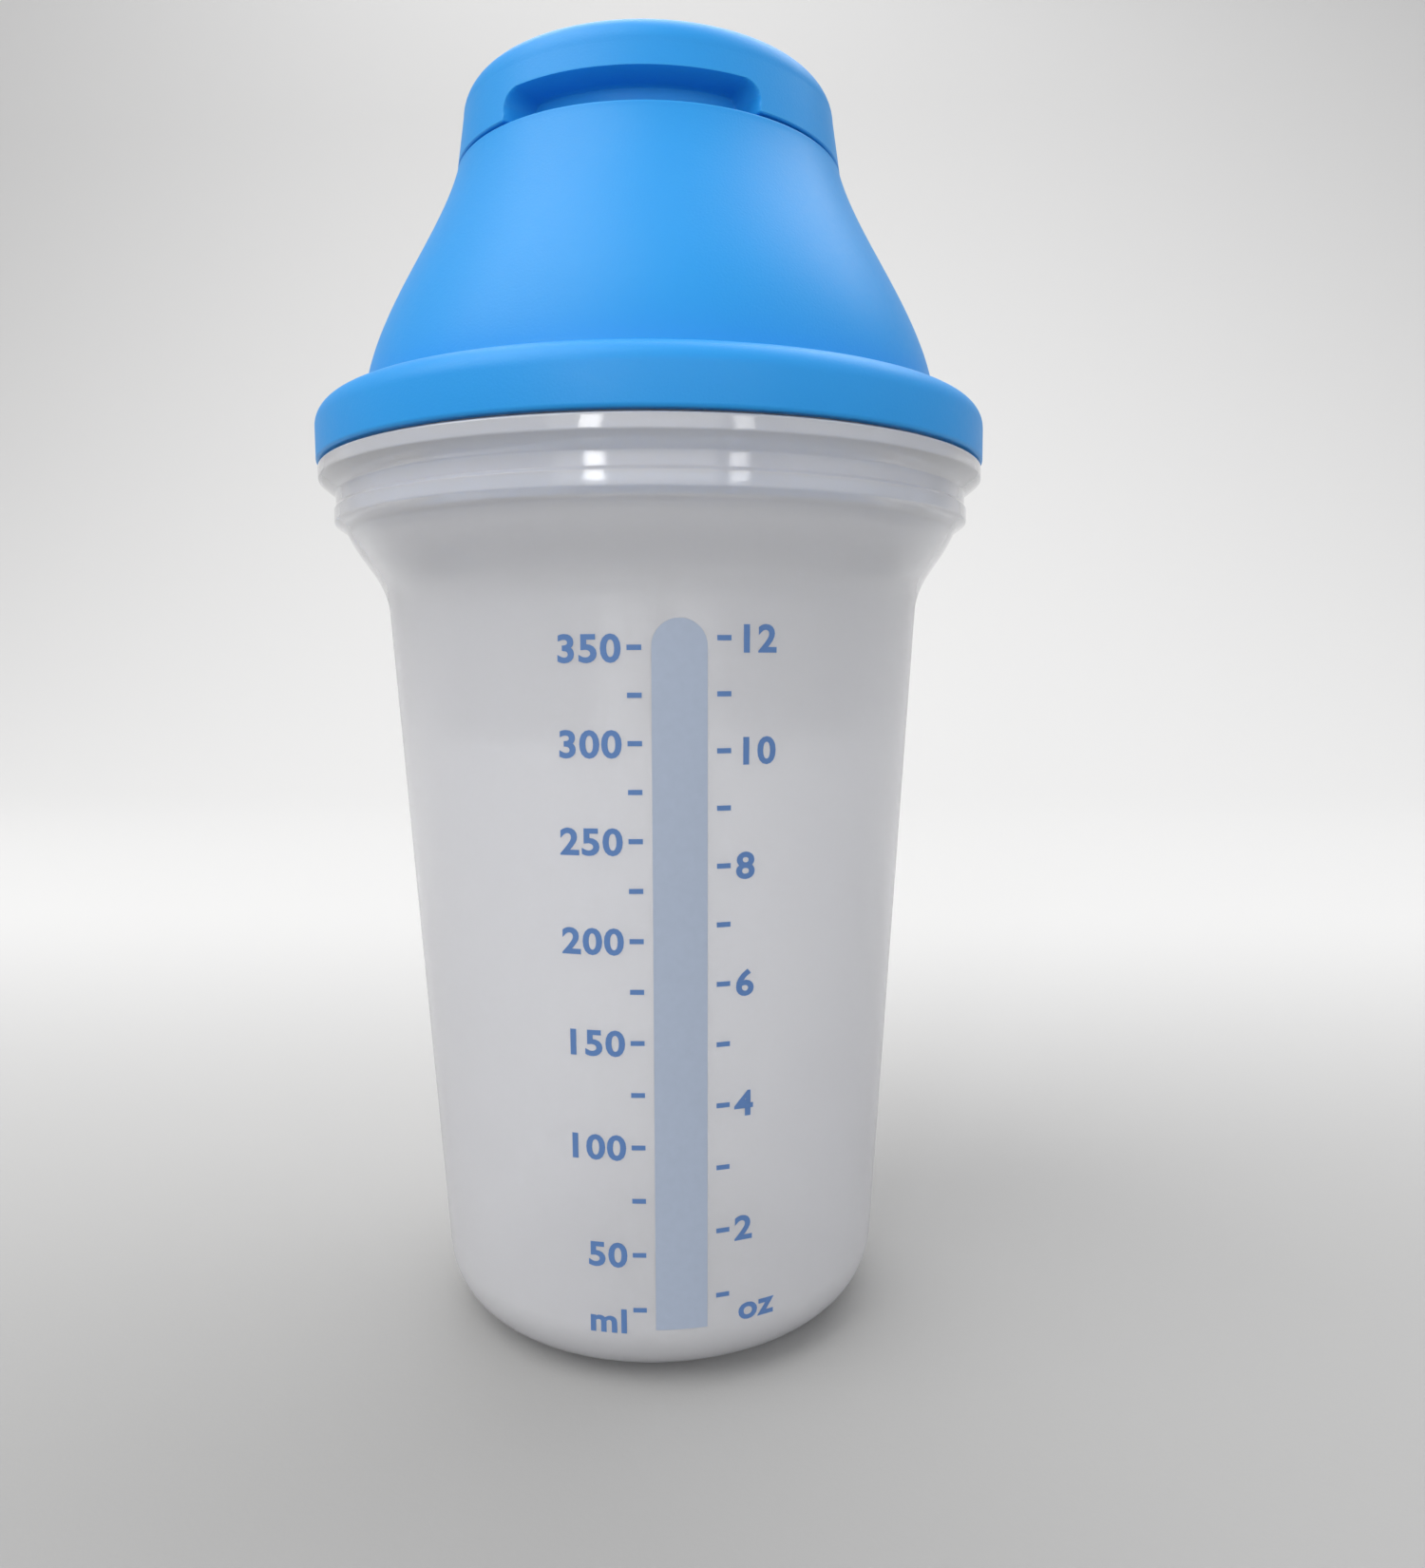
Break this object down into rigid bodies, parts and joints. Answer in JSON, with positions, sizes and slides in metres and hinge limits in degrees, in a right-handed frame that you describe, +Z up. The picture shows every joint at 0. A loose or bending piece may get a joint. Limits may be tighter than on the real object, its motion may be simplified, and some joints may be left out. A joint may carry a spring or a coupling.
{
  "type": "protein shaker bottle",
  "caption": "Frosted shaker tumbler with a press-on domed lid, rear-hinged flip cap with a finger recess, and a drop-in blending wheel.",
  "frame": {"origin": "centre of the foot ring, on the surface that the bottle stands on", "axes": "+Z up the bottle's axis; the finger recess and the spout face -Y and the hinge is at +Y; +X to the right from the front"},
  "size_m": [0.0972, 0.0972, 0.1796],
  "materials": {
    "frosted_plastic": "frosted translucent polypropylene",
    "wheel_plastic": "natural translucent polypropylene",
    "lid_plastic": "fine matte moulded",
    "soft_seal": "soft satin",
    "pin_plastic": "smooth moulded",
    "print_ink": "screen printed"
  },
  "bodies": {
    "tumbler": {"tumbler": "frosted_plastic"},
    "wheel": {"blending_wheel": "wheel_plastic"},
    "lid": {"lid_dome": "lid_plastic", "lid_gasket": "soft_seal", "hinge_pin": "pin_plastic"},
    "cap": {"flip_cap": "lid_plastic", "spout_stopper": "soft_seal"}
  },
  "joints": [
    {"name": "lid_lift", "type": "slide", "parent": "tumbler", "child": "lid", "axis": [0, 0, 1], "range_m": [0, 0.1]},
    {"name": "wheel_lift", "type": "slide", "parent": "tumbler", "child": "wheel", "axis": [0, 0, 1], "range_m": [0, 0.05]},
    {"name": "cap_hinge", "type": "hinge", "parent": "lid", "child": "cap", "pos_m": [0, 0.0246, 0.1716], "axis": [-1, 0, 0], "range_deg": [0, 115]}
  ],
  "couplings": [
    {"joint": "wheel_lift", "follows": "lid_lift", "ratio": 0.5}
  ]
}
